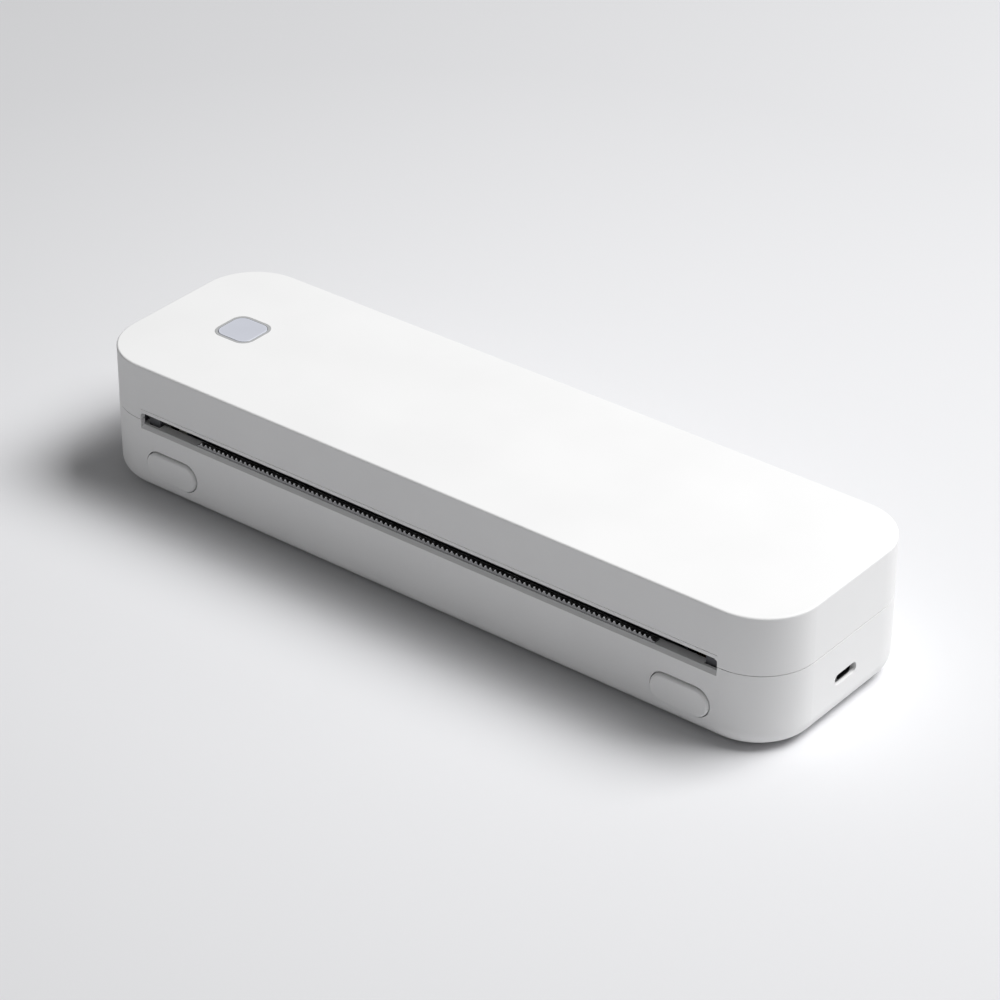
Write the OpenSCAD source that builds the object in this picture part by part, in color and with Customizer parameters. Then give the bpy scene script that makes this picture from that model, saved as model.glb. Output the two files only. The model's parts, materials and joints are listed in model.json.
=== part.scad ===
// Portable thermal printer for A4 paper, with its lid shut.
// The base holds the print head, its gear drive and the battery. The hinged lid holds the
// platen roller and the power button, and two sprung latches with front buttons let it go.
// The origin is on the floor under the middle of the printer, its buttons included.
// The paper slot faces -Y and the charging inlet faces +X.

/* [Case] */
// Room beside the paper at each end of the case
end_room = 52.5; // [51.5:0.5:57.5]
// Depth of the case from the slot to the hinge
case_w = 89; // [89:0.5:94]
// Height of the case above its feet
case_h = 53.9; // [53.9:0.1:58]
// Height of the base shell up to its rim
base_h = 30.4; // [30.3:0.1:31]
// Radius of the upright corners
corner_r = 23; // [21:0.5:25]
// Radius around the underside
under_r = 7; // [5:0.5:7.5]
// Radius around the top face
top_r = 0.8; // [0.4:0.1:1.5]
// Wall of both shells
wall = 2.2; // [1.8:0.1:2.3]
// Gap between base and lid
part_gap = 0.3; // [0.2:0.05:0.4]
// Diameter of a rubber foot
foot_d = 14; // [10:1:16]
// Height of a foot below the case
foot_h = 1.1; // [0.8:0.1:1.5]

/* [Paper path] */
// Width of the paper, which the length of the case follows
paper_w = 210; // [190:1:230]
// Distance from an end of the case to the front slot
slot_end = 24.2; // [22.5:0.1:25]
// Drop from the rim of the base to the ledge in the slot
ledge_drop = 2.3; // [2:0.1:2.5]
// Height of the slot cut into the lid
lip_h = 2.7; // [2.2:0.1:3]
// Height of the chamfer along the lip over the slot
lip_chamfer_h = 0.4; // [0.2:0.1:0.8]
// Depth of the chamfer along the lip over the slot
lip_chamfer_d = 0.3; // [0.2:0.1:0.8]
// Height of the fine groove above the lip
lip_line_up = 1.6; // [1:0.1:4]
// Width and depth of the fine groove
lip_line_w = 0.25; // [0.2:0.05:0.5]
// Radius of the upper corners of the slot
slot_corner_r = 1; // [0.5:0.1:1.2]
// Size of the bevel under the slot
sill_bevel = 1.3; // [0.6:0.1:1.4]
// Height of the paper inlet at the back
inlet_h = 4.5; // [4.2:0.1:5]
// Radius of the bay for the paper roll
roll_r = 23; // [21:0.5:23]
// Wall of the roll bay
bay_wall = 1.8; // [1.4:0.1:2]

/* [Tear bar] */
// Spacing of its teeth
tooth_pitch = 2.19; // [1.8:0.01:3]
// Height of its teeth
tooth_h = 1.3; // [0.8:0.1:1.4]
// Thickness of its sheet
tear_t = 0.5; // [0.3:0.05:0.6]
// Width of its foot
tear_foot = 3; // [2.5:0.1:3.2]

/* [Rollers and head] */
// Radius of the platen rubber
platen_r = 7.5; // [7:0.1:7.6]
// How far the platen rubber reaches past the paper at each side
platen_over = 3; // [1.5:0.5:3.5]
// Diameter of the platen shaft
shaft_d = 5; // [4:0.1:5.5]
// Distance of the platen axis behind the front of the case
platen_back = 14.5; // [14.3:0.1:14.7]
// Outer diameter of a platen bushing
bushing_d = 8; // [7:0.1:8.5]
// Width of the ceramic strip
strip_w = 8; // [6:0.5:8.5]
// Thickness of the ceramic strip
strip_t = 0.8; // [0.6:0.1:0.9]
// Thickness of the heat sink
sink_t = 2.3; // [2:0.1:2.4]
// Thickness of the chassis sheet
sheet_t = 1.2; // [1:0.1:1.3]

/* [Gears] */
// Gear module
gear_m = 0.6; // [0.6]
// Teeth on the platen gear
platen_teeth = 26; // [26]
// Teeth on the idler gear
idler_teeth = 20; // [20]
// Teeth on the small wheel of the compound gear
small_teeth = 14; // [14]
// Teeth on the large wheel of the compound gear
large_teeth = 36; // [36]
// Teeth on the motor pinion
pinion_teeth = 12; // [12]
// Face width of the gears
gear_w = 4; // [3:0.1:4]
// Outer diameter of the motor
motor_d = 22; // [18:0.5:22]
// Length of the motor
motor_l = 22; // [18:0.5:23]

/* [Latches] */
// Length of a release button
button_l = 24.7; // [22:0.1:25]
// Height of a release button
button_h = 11.6; // [11:0.1:12]
// Gap around a release button
button_gap = 0.45; // [0.3:0.05:0.5]
// Rounding of the face of a release button
button_edge_r = 1.1; // [0.6:0.1:1.2]
// How far a release button stands out
button_proud = 1.2; // [0.8:0.1:1.4]
// Distance from an end of the case to the middle of a release button
button_end = 39.2; // [38.9:0.1:39.5]
// Travel of a release button
button_travel = 2; // [1.5:0.1:2]
// Width of a latch hook
hook_w = 5.2; // [4:0.1:5.4]

/* [Power button] */
// Width of the square ring
ring_w = 18.2; // [17:0.1:18.4]
// Width of the gap in the ring around the cap
ring_gap = 0.2; // [0.15:0.05:0.25]
// Width of the button cap
cap_w = 15.6; // [14:0.1:15.7]
// Travel of the power button
power_travel = 0.4; // [0.2:0.1:0.5]
// Distance from the end of the case to the middle of the power button
power_end = 36.4; // [35.5:0.1:36.5]

/* [Hinge] */
// Radius of the hinge knuckles
hinge_r = 4.5; // [4.3:0.1:4.6]
// Diameter of a hinge pin
hinge_pin_d = 3; // [2.5:0.1:3.2]
// Width of a hinge lug on the base
lug_w = 12; // [10:0.5:12]
// Width of a knuckle on the lid
knuckle_w = 5; // [4:0.5:5]

/* [Hidden] */
$fn = 96;

// Clearances
seat = 0.3;
turn_fit = 0.05;
press_fit = 0.02;
loose_fit = 0.3;
eps = 0.1;

// Lengths and places that follow the paper
case_l = paper_w + 2 * end_room;
slot_l = case_l - 2 * slot_end;
platen_l = paper_w + 2 * platen_over;
head_half = paper_w / 2 + 5.6;
spring_step = paper_w / 7;
button_x = case_l / 2 - button_end;
power_x = case_l / 2 - power_end;

// Main planes of the case
front_y = -case_w / 2;
back_y = case_w / 2;
floor_z = foot_h;
inner_floor_z = floor_z + wall;
rim_z = floor_z + base_h;
lid_z = rim_z + part_gap;
top_z = floor_z + case_h;
ceiling_z = top_z - wall;
ledge_z = rim_z - ledge_drop;
slot_top_z = lid_z + lip_h;
past = 3;

// Hinge line, with its lugs and knuckles
hinge_y = back_y - hinge_r;
hinge_z = lid_z + hinge_r;
hinge_x = case_l / 2 - 36.5;
knuckle_gap = 0.3;
lug_x = [hinge_x - lug_w / 2, hinge_x + lug_w / 2];
inner_knuckle_x = [lug_x[0] - knuckle_gap - knuckle_w, lug_x[0] - knuckle_gap];
outer_knuckle_x = [lug_x[1] + knuckle_gap, lug_x[1] + knuckle_gap + knuckle_w];
lug_depth = 2 * hinge_r;
lug_foot_z = rim_z - 4.5;
knuckle_web_h = 9;

// Platen and print head
platen_y = front_y + platen_back;
head_gap = 0.3;
strip_top_z = rim_z;
platen_z = strip_top_z + head_gap + platen_r;
bushing_x = [head_half + 0.4, head_half + 6.4];
bushing_flange_t = 1;
bushing_flange_d = bushing_d + 2;
ear_x = [head_half + 0.4, head_half + 3.4];
side_plate_x = head_half + 4.4;
sink_z = strip_top_z - strip_t - sink_t;
bracket_z = sink_z - sheet_t;
pivot_y = platen_y + 13.5;
pivot_z = bracket_z + 0.8;
pivot_d = 2.4;
pivot_ear_r = 2.1;
head_front_y = platen_y - 7.3;
head_back_y = pivot_y + 1.6;
tray_z = bracket_z - 3.6;
tray_t = 1;
tray_y = [front_y + 5.5, pivot_y + 3];
upright_y = [platen_y - 7.5, platen_y + 7.5];
upright_top_z = platen_z + 0.8;

// Gear centres, from the platen down to the motor
idler_d = gear_m * (platen_teeth + idler_teeth) / 2;
small_d = gear_m * (idler_teeth + small_teeth) / 2;
pinion_d = gear_m * (large_teeth + pinion_teeth) / 2;
small_turn = -39;
pinion_turn = -12;
idler_y = platen_y;
idler_z = platen_z - idler_d;
compound_y = idler_y + small_d * cos(small_turn);
compound_z = idler_z + small_d * sin(small_turn);
motor_y = compound_y + pinion_d * cos(pinion_turn);
motor_z = compound_z + pinion_d * sin(pinion_turn);
gear_x = -side_plate_x - 2.2;
wheel_gap = 1.4;
wheel_w = 3;
wheel_x = gear_x - gear_w - wheel_gap;
stud_d = 3;
clip_t = 0.4;
motor_face_x = wheel_x - wheel_w - 2.6;
motor_shaft_d = 2;

// Rubber feet
foot_y = case_w / 2 - 18.5;
foot_recess = 0.6;
foot_groove = 0.3;

// Roll bay
deck_t = 1.8;
deck_top_z = rim_z - 0.3;
deck_z = deck_top_z - deck_t;
roll_y = 13.5;
roll_z = rim_z - 2;
bay_half = head_half - 0.6;
deck_edge_y = pivot_y + 2.3;
sensor_x = [36, 44];
sensor_y = [deck_edge_y, deck_edge_y + 2.4];

// Latches
latch_z = floor_z + 12.9;
flange_rim = 0.6;
flange_l = button_l + 2 * (button_gap + flange_rim);
flange_h = button_h + 2 * (button_gap + flange_rim);
hook_x = [button_x + 13.5 - hook_w, button_x + 13.5];
flange_t = 1.2;
flange_y = front_y + wall + seat;
slider_y = flange_y + flange_t;
slider_t = 1.6;
hook_y = [front_y + 7.3, front_y + 9.1];
hook_room_y = hook_y[1] + button_travel + 0.4;
hook_top_z = deck_top_z - 0.2;
nose_h = 1.6;
tongue_y = [front_y + 3.2, front_y + 4.6];
barb_out = 1.3;
barb_h = 2;
barb_z = hook_top_z - nose_h - 0.9 - barb_h;
nose_tip_y = tongue_y[1] + barb_out + seat;
latch_spring_x = button_x - 6.3;
spring_wall_y = front_y + 9 + button_travel;
spring_wall_t = 2;

// Battery, board and inlet
cell_d = 18.4;
cell_l = 65;
battery_y = platen_y;
battery_z = inner_floor_z + 0.5 + cell_d / 2;
usb_y = -1.1;
usb_z = floor_z + 15.3;
usb_w = 8.94;
usb_h = 3.26;
board_t = 1.6;
board_top_z = usb_z - usb_h / 2;
board_z = board_top_z - board_t;
board_x = [case_l / 2 - 44.5, case_l / 2 - 4.5];
board_y = [-22, 26];
board_posts = [
    [board_x[0] + 4, board_y[0] + 25],
    [board_x[1] - 4, board_y[0] + 4],
    [board_x[1] - 4, board_y[1] - 4]];
inlet_hole_w = 13.2;
inlet_hole_h = 4.3;
power_connector_x = [board_x[0] + 3, board_x[0] + 11];
motor_connector_x = [board_x[0] + 14, board_x[0] + 22];
plug_depth = 6;
plug_h = 4.2;

// Case screws, posts and the liner's screws
case_screw_x = case_l / 2 - 17.5;
case_screw_ys = [front_y + 13.5, back_y - 11.5];
case_boss_top_z = inner_floor_z + 6.7;
screw_seat_z = inner_floor_z + 4.7;
chassis_post_x = head_half - 15.6;
chassis_post_ys = [front_y + 8.5, front_y + 27];
liner_z = deck_top_z + 7.2;
liner_t = 1.6;
liner_screw_x = case_l / 2 - 11.5;
liner_screw_y = 21.5;
liner_top_z = ceiling_z - seat;
liner_wall_x = bay_half - 1.2;
cavity_r = platen_r + 1.1;
liner_back_y = back_y - 13.5;

// Lid switch in the base, with its tappet
lid_switch_x = case_l / 2 - 16.5;
lid_switch_y = 8;
tappet_d = 2.6;

// Power button
power_y = 0.6;
cap_r = 4.2;
ring_r = 5.2;
cap_top_z = top_z + 0.1;
ring_flange_t = 1;
ring_flange_z = ceiling_z - seat - ring_flange_t;
cap_flange_z = ring_flange_z - 0.9;
switch_top_z = cap_flange_z - 2;
switch_h = 3.4;
button_board_t = 1.2;
button_board_z = switch_top_z - switch_h - button_board_t;
board_post_ys = [power_y - 13.2, power_y + 13.2];

// Moves a piece from the middle of the case to the middle of the whole printer
module in_case() {
    translate([0, button_proud / 2, 0]) children();
}

// Box between two values on each axis
module block(x, y, z) {
    translate([x[0], y[0], z[0]]) cube([x[1] - x[0], y[1] - y[0], z[1] - z[0]]);
}

// Rod along X between two values
module x_rod(d, x, y, z) {
    translate([x[0], y, z]) rotate([0, 90, 0]) cylinder(d = d, h = x[1] - x[0]);
}

// Rod along Y between two values
module y_rod(d, y, x, z) {
    translate([x, y[0], z]) rotate([-90, 0, 0]) cylinder(d = d, h = y[1] - y[0]);
}

// Rod along Z between two values
module z_rod(d, z, x, y) {
    translate([x, y, z[0]]) cylinder(d = d, h = z[1] - z[0]);
}

// Extrudes a profile drawn in Y and Z along X
module along_x(x) {
    translate([x[0], 0, 0]) rotate([90, 0, 90]) linear_extrude(x[1] - x[0]) children();
}

// Repeats a piece at the other end of the printer
module both_ends() {
    children();
    mirror([1, 0, 0]) children();
}

// Half section of a rounded block, from its inside out to reach
module edge_profile(reach, z, low_r, high_r) {
    difference() {
        translate([0, z[0]]) square([reach, z[1] - z[0]]);
        if (low_r > 0)
            translate([reach - low_r, z[0] + low_r]) difference() {
                translate([0, -low_r - 1]) square([low_r + 1, low_r + 1]);
                circle(low_r);
            }
        if (high_r > 0)
            translate([reach - high_r, z[1] - high_r]) difference() {
                square([high_r + 1, high_r + 1]);
                circle(high_r);
            }
    }
}

// Upright block with round corners and a radius around its lower and its upper edge
module rounded_block(length, width, corner, z, low_r = 0, high_r = 0) {
    sx = length / 2 - corner;
    sy = width / 2 - corner;
    if (sy > 0) {
        block([-sx, sx], [-sy, sy], z);
        both_ends() translate([sx, sy, 0]) rotate([90, 0, 0])
            linear_extrude(2 * sy) edge_profile(corner, z, low_r, high_r);
    }
    for (side = [0, 1]) mirror([0, side, 0]) {
        translate([0, sy, 0]) along_x([-sx, sx]) edge_profile(corner, z, low_r, high_r);
        both_ends() translate([sx, sy, 0])
            rotate_extrude(angle = 90) edge_profile(corner, z, low_r, high_r);
    }
}

// Outer form of the case, or the same form drawn in by a margin
module case_form(margin, z, low_r = 0, high_r = 0) {
    rounded_block(case_l - 2 * margin, case_w - 2 * margin, corner_r - margin, z, low_r, high_r);
}

// Long hole or button with round ends, standing along Y
module pill(length, height, y, x, z, edge_r = 0) {
    translate([x, 0, z]) rotate([90, 0, 0])
        rounded_block(length, height, height / 2, [-y[1], -y[0]], 0, edge_r);
}

// Turn of an involute flank at radius r away from its root on the base circle
function flank_turn(base_r, r) =
    let (a = acos(min(1, base_r / r))) tan(a) * 180 / PI - a;

// Outline of one tooth around the angle mid, from root to tip and back
function tooth(teeth, mid) =
    let (
        pitch_r = gear_m * teeth / 2,
        base_r = pitch_r * cos(20),
        root_r = pitch_r - 1.25 * gear_m,
        tip_r = pitch_r + 0.8 * gear_m,
        thin = 0.08,
        half = (PI * gear_m / 2 - thin) / 2 / pitch_r * 180 / PI,
        low_r = max(base_r, root_r),
        radii = [root_r, for (k = [0:3]) low_r + (tip_r - low_r) * k / 3],
        turns = [for (r = radii) half + flank_turn(base_r, pitch_r) - flank_turn(base_r, r)]
    )
    [
        for (k = [0:len(radii) - 1]) radii[k] * [cos(mid - turns[k]), sin(mid - turns[k])],
        for (k = [len(radii) - 1:-1:0]) radii[k] * [cos(mid + turns[k]), sin(mid + turns[k])]
    ];

// Gear wheel along X with its first tooth at the angle turn from +Y towards +Z
module wheel(teeth, turn, x, y, z) {
    translate([0, y, z]) along_x(x)
        polygon([for (k = [0:teeth - 1]) each tooth(teeth, turn + 360 * k / teeth)]);
}

// First tooth of a gear that meshes with another one along the line at the angle toward
function meshed(own_teeth, other_teeth, other_turn, toward) =
    toward + 180 + 360 / own_teeth * (0.5 - other_teeth * (other_turn - toward) / 360);

idler_turn = meshed(idler_teeth, platen_teeth, 0, -90);
small_wheel_turn = meshed(small_teeth, idler_teeth, idler_turn, small_turn);
pinion_wheel_turn = meshed(pinion_teeth, large_teeth, small_wheel_turn, pinion_turn);

// Coil spring along Z, with steps points a turn and a wire of six sides
module coil_spring(coil_d, wire_d, height, turns) {
    steps = 12;
    sides = 6;
    rings = turns * steps;
    points = [
        for (i = [0:rings], j = [0:sides - 1])
            let (a = 360 * i / steps, b = 360 * j / sides,
                r = (coil_d - wire_d) / 2 + wire_d / 2 * cos(b))
            [r * cos(a), r * sin(a),
                wire_d / 2 * (1 + sin(b)) + (height - wire_d) * i / rings]
    ];
    polyhedron(points, concat(
        [[for (j = [0:sides - 1]) j]],
        [for (i = [0:rings - 1], j = [0:sides - 1])
            let (a = i * sides + j, b = i * sides + (j + 1) % sides)
            each [[a, a + sides, b + sides], [a, b + sides, b]]],
        [[for (j = [sides - 1:-1:0]) rings * sides + j]]));
}

// Flat lead that follows a route in X and Y
module flat_lead(route, width, z) {
    translate([0, 0, z[0]]) linear_extrude(z[1] - z[0])
        for (i = [0:len(route) - 2]) {
            step = route[i + 1] - route[i];
            translate(route[i]) rotate(atan2(step[1], step[0]))
                translate([0, -width / 2]) square([norm(step), width]);
            if (i > 0) translate(route[i]) circle(width / 2, $fn = 24);
        }
}

// Cross recess for a screwdriver, cut into a head
module cross_recess(head_d, z, x, y) {
    reach = 0.32 * head_d;
    arm = 0.09 * head_d;
    block([x - reach, x + reach], [y - arm, y + arm], z);
    block([x - arm, x + arm], [y - reach, y + reach], z);
}

// Screw that points up, with its head below
module screw_up(d, head_d, head_h, z, x, y) {
    difference() {
        union() {
            z_rod(d, z, x, y);
            z_rod(head_d, [z[0] - head_h, z[0]], x, y);
        }
        cross_recess(head_d, [z[0] - head_h - 1, z[0] - head_h / 3], x, y);
    }
}

// Screw that points down, with its head on top
module screw_down(d, head_d, head_h, z, x, y) {
    difference() {
        union() {
            z_rod(d, z, x, y);
            z_rod(head_d, [z[1], z[1] + head_h], x, y);
        }
        cross_recess(head_d, [z[1] + head_h / 3, z[1] + head_h + 1], x, y);
    }
}

module slot_front(z) {
    block([-slot_l / 2, slot_l / 2], [front_y - past, front_y + wall + eps], z);
}

module battery_ribs() {
    for (x = [-50, -20, 20, 50])
        difference() {
            block([x - 1, x + 1], [battery_y - 9, battery_y + 9],
                [inner_floor_z - eps, inner_floor_z + 5]);
            x_rod(cell_d + 2 * seat, [x - 2, x + 2], battery_y, battery_z);
        }
}

module latch_guides() {
    for (x = [button_x - 3.6, button_x + 2.5])
        block([x, x + 1.5], [front_y + 4.5, spring_wall_y],
            [inner_floor_z - eps, latch_z - flange_h / 2 - loose_fit]);
    block([latch_spring_x - 2.5, latch_spring_x + 2.5],
        [spring_wall_y, spring_wall_y + spring_wall_t], [inner_floor_z - eps, latch_z + 4]);
}

module base_shell() {
    color("white") in_case() difference() {
        union() {
            difference() {
                case_form(0, [floor_z, rim_z], under_r, 0);
                case_form(wall, [inner_floor_z, rim_z + past], under_r - wall, 0);
            }
            block([-slot_l / 2 - 1, slot_l / 2 + 1], [front_y + 1.5, front_y + 5.3],
                [ledge_z - deck_t, ledge_z]);
            both_ends() {
                block(lug_x, [back_y - lug_depth, back_y], [lug_foot_z, hinge_z]);
                x_rod(2 * hinge_r, lug_x, hinge_y, hinge_z);
                for (y = case_screw_ys)
                    z_rod(9, [inner_floor_z - eps, case_boss_top_z], case_screw_x, y);
                for (y = chassis_post_ys)
                    z_rod(6, [inner_floor_z - eps, tray_z], chassis_post_x, y);
                latch_guides();
            }
            battery_ribs();
            for (p = board_posts) z_rod(5, [inner_floor_z - eps, board_z], p[0], p[1]);
        }
        slot_front([ledge_z, rim_z + past]);
        along_x([-slot_l / 2, slot_l / 2]) polygon([
            [front_y - eps, ledge_z - sill_bevel - eps], [front_y + sill_bevel, ledge_z],
            [front_y - eps, ledge_z]]);
        both_ends() {
            pill(button_l + 2 * button_gap, button_h + 2 * button_gap,
                [front_y - past, front_y + wall + past], button_x, latch_z);
            block([hook_x[0] - loose_fit, hook_x[1] + loose_fit],
                [tongue_y[0] - loose_fit - 0.4, front_y + 6], [ledge_z - deck_t - 1, ledge_z + 1]);
            x_rod(hinge_pin_d + 2 * press_fit, [lug_x[0] - 1, lug_x[1] + 1], hinge_y, hinge_z);
            for (y = case_screw_ys) {
                z_rod(3.4, [screw_seat_z - 1, case_boss_top_z + 1], case_screw_x, y);
                z_rod(6.2, [floor_z - 1, screw_seat_z], case_screw_x, y);
            }
            for (y = chassis_post_ys)
                z_rod(2.2 + 2 * press_fit, [tray_z - 9, tray_z + 1], chassis_post_x, y);
            for (y = [-foot_y, foot_y])
                z_rod(foot_d + 2 * press_fit, [floor_z - 1, floor_z + foot_recess], hinge_x, y);
        }
        for (p = board_posts)
            z_rod(2 + 2 * press_fit, [board_z - 7, board_z + 1], p[0], p[1]);
        translate([0, usb_y, usb_z]) rotate([0, 0, 90])
            pill(inlet_hole_w, inlet_hole_h, [-case_l / 2 - past, -case_l / 2 + wall + past], 0, 0);
    }
}

module rubber_feet() {
    color("dimgray") in_case() both_ends() for (y = [-foot_y, foot_y])
        difference() {
            z_rod(foot_d, [0, floor_z + foot_recess], hinge_x, y);
            difference() {
                z_rod(foot_d - 4, [-1, foot_groove], hinge_x, y);
                z_rod(foot_d - 5.6, [-1, foot_groove + 1], hinge_x, y);
            }
        }
}

module case_screws() {
    color("silver") in_case() both_ends() for (y = case_screw_ys)
        screw_up(3, 5.6, 2.2, [screw_seat_z, screw_seat_z + 12], case_screw_x, y);
}

module inner_frame() {
    color("gainsboro") in_case() difference() {
        union() {
            difference() {
                case_form(wall + seat, [deck_z, deck_top_z]);
                block([-slot_l / 2 - 1, slot_l / 2 + 1], [front_y, hook_room_y],
                    [deck_z - 1, rim_z]);
                both_ends() block([hook_x[0] - 2 * loose_fit, hook_x[1] + 2 * loose_fit],
                    [front_y, hook_room_y], [deck_z - 1, rim_z]);
                block([wheel_x - wheel_w - 1.2, side_plate_x + 3.5],
                    [front_y, deck_edge_y], [deck_z - 1, rim_z]);
                block([-bay_half, bay_half], [roll_y - roll_r, roll_y + roll_r],
                    [deck_z - 1, rim_z]);
            }
            difference() {
                x_rod(2 * (roll_r + bay_wall), [-bay_half - bay_wall, bay_half + bay_wall],
                    roll_y, roll_z);
                x_rod(2 * roll_r, [-bay_half, bay_half], roll_y, roll_z);
                block([-bay_half - past, bay_half + past], [roll_y - 30, roll_y + 30],
                    [deck_top_z, deck_top_z + 40]);
                block([-bay_half - past, bay_half + past], [roll_y - 30, roll_y + 30],
                    [roll_z + 0.1, deck_z + 0.1]);
            }
            both_ends() for (y = case_screw_ys)
                z_rod(7, [case_boss_top_z + seat, deck_z + eps], case_screw_x, y);
        }
        both_ends() {
            for (y = case_screw_ys)
                z_rod(3 + 2 * press_fit, [case_boss_top_z - 1, screw_seat_z + 13],
                    case_screw_x, y);
            block([lug_x[0] - loose_fit, lug_x[1] + loose_fit],
                [back_y - lug_depth - loose_fit, back_y], [deck_z - 1, rim_z]);
        }
        block([sensor_x[0] - 0.2, sensor_x[1] + 0.2], [sensor_y[0] - 1, sensor_y[1] + 0.2],
            [deck_z - 1, rim_z]);
        z_rod(tappet_d + 2 * loose_fit, [deck_z - 1, rim_z], lid_switch_x, lid_switch_y);
    }
}

module tear_bar() {
    half = paper_w / 2 + 1;
    count = floor(2 * half / tooth_pitch);
    start = -count * tooth_pitch / 2;
    base_y = front_y + 1.6;
    root_z = ledge_z + 2.05 - tooth_h;
    color("silver") in_case() difference() {
        union() {
            translate([0, base_y + tear_t, 0]) rotate([90, 0, 0]) linear_extrude(tear_t) polygon([
                [half, ledge_z], [half, root_z],
                for (k = [count - 1:-1:0]) each [
                    [start + (k + 1) * tooth_pitch, root_z],
                    [start + (k + 0.5) * tooth_pitch, root_z + tooth_h]],
                [start, root_z], [-half, root_z], [-half, ledge_z]]);
            block([-half, half], [base_y, base_y + tear_foot], [ledge_z, ledge_z + tear_t]);
        }
        for (k = [-2:2])
            z_rod(1.6, [ledge_z - 1, ledge_z + 1], k * paper_w / 5, base_y + tear_foot - 1.2);
    }
}

// Side profile of a chassis upright with its open notch for the platen bushing
module upright_profile() {
    difference() {
        translate([upright_y[0], tray_z]) square([upright_y[1] - upright_y[0],
            upright_top_z - tray_z]);
        translate([platen_y, platen_z]) circle(bushing_d / 2 + 2 * turn_fit);
        translate([platen_y - bushing_d / 2 - 2 * turn_fit, platen_z])
            square([bushing_d + 4 * turn_fit, past]);
    }
}

module head_chassis() {
    plate = [-side_plate_x - sheet_t, -side_plate_x];
    plate_ear_x = [head_half + 2.2, head_half + 3.2];
    color("lightsteelblue") in_case() difference() {
        union() {
            block([-side_plate_x, side_plate_x], tray_y, [tray_z, tray_z + tray_t]);
            both_ends() {
                along_x([side_plate_x, side_plate_x + sheet_t]) upright_profile();
                block(plate_ear_x, [pivot_y - pivot_ear_r, pivot_y + pivot_ear_r],
                    [tray_z, pivot_z]);
                x_rod(2 * pivot_ear_r, plate_ear_x, pivot_y, pivot_z);
            }
            block(plate, [spring_wall_y + 1, motor_y + 13], [inner_floor_z + 1.5, tray_z + tray_t]);
            block(plate, [pivot_y + 3, motor_y + 13], [tray_z, deck_z - 0.5]);
        }
        both_ends() {
            for (y = chassis_post_ys)
                z_rod(2.6, [tray_z - 1, tray_z + 3], chassis_post_x, y);
            x_rod(pivot_d + 2 * press_fit, [head_half, side_plate_x - 0.5], pivot_y, pivot_z);
        }
        x_rod(stud_d + 2 * press_fit, [plate[0] - 1, plate[1] + 1], idler_y, idler_z);
        x_rod(stud_d + 2 * press_fit, [plate[0] - 1, plate[1] + 1], compound_y, compound_z);
        for (k = [-2.5:1:2.5])
            block([k * spring_step - 8, k * spring_step + 8], [platen_y + 2, platen_y + 8],
                [tray_z - 1, tray_z + 3]);
    }
}

module chassis_screws() {
    color("silver") in_case() both_ends() for (y = chassis_post_ys)
        screw_down(2.2, 4.4, 1.1, [tray_z - 8, tray_z + tray_t], chassis_post_x, y);
}

module hinge_pins() {
    color("silver") in_case() both_ends()
        x_rod(hinge_pin_d, [inner_knuckle_x[0] + 0.3, outer_knuckle_x[1] - 0.3], hinge_y, hinge_z);
}

module battery_pack() {
    color("royalblue") in_case() {
        x_rod(cell_d, [-cell_l - 0.5, cell_l + 0.5], battery_y, battery_z);
        x_rod(cell_d - 3, [-cell_l - 1.5, cell_l + 1.5], battery_y, battery_z);
    }
}

module battery_lead() {
    z = [battery_z - 1.6, battery_z - 0.4];
    lead_x = (power_connector_x[0] + power_connector_x[1]) / 2;
    color("firebrick") in_case() {
        flat_lead([[cell_l + 1.5, battery_y], [cell_l + 8, battery_y], [cell_l + 18, battery_y + 3.5],
            [lead_x, battery_y + 3.5], [lead_x, board_y[0]]], 2.4, z);
    }
}

module main_board() {
    color("seagreen") in_case() difference() {
        block(board_x, board_y, [board_z, board_top_z]);
        for (p = board_posts) z_rod(2.4, [board_z - 1, board_top_z + 1], p[0], p[1]);
    }
}

module board_screws() {
    color("silver") in_case() for (p = board_posts)
        screw_down(2, 4, 1.2, [board_z - 6, board_top_z], p[0], p[1]);
}

module usb_c_inlet() {
    shell_x = [case_l / 2 - 8.3, case_l / 2 - 1];
    color("silver") in_case() translate([0, usb_y, usb_z]) rotate([0, 0, 90]) {
        difference() {
            pill(usb_w, usb_h, [-shell_x[1], -shell_x[0]], 0, 0);
            pill(usb_w - 0.6, usb_h - 0.6, [-shell_x[1] - 1, -shell_x[0] - 1], 0, 0);
        }
        block([-3.3, 3.3], [-shell_x[1] + 0.8, -shell_x[0] - 0.5], [-0.35, 0.35]);
    }
}

module wireless_module() {
    color("gainsboro") in_case()
        block([board_x[0] + 6, board_x[0] + 22], [board_y[0] + 4, board_y[0] + 16],
            [board_top_z, board_top_z + 2.2]);
}

module board_connectors() {
    color("ivory") in_case() {
        block(power_connector_x, [board_y[0], board_y[0] + plug_depth], [board_z - plug_h, board_z]);
        block(motor_connector_x, [board_y[1] - plug_depth, board_y[1]], [board_z - plug_h, board_z]);
        block([board_x[0] + 11, board_x[0] + 33], [board_y[1] - 18, board_y[1] - 14],
            [board_top_z, board_top_z + 3]);
        block([board_x[0] + 2, board_x[0] + 8], [board_y[1] - 14, board_y[1] - 4],
            [board_top_z, board_top_z + 4]);
    }
}

module paper_sensor() {
    color("black") in_case() {
        block(sensor_x, sensor_y, [deck_z - 2, deck_top_z]);
        block([sensor_x[0] - 1.5, sensor_x[1] + 1.5], sensor_y, [deck_z - 3, deck_z]);
    }
}

module lid_switch() {
    color("black") in_case() {
        block([lid_switch_x - 6.5, lid_switch_x + 6.5], [lid_switch_y - 3.2, lid_switch_y + 3.2],
            [deck_z - 6.3, deck_z - 0.2]);
        z_rod(tappet_d, [deck_z - 1, rim_z + 1.2], lid_switch_x, lid_switch_y);
    }
}

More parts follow.
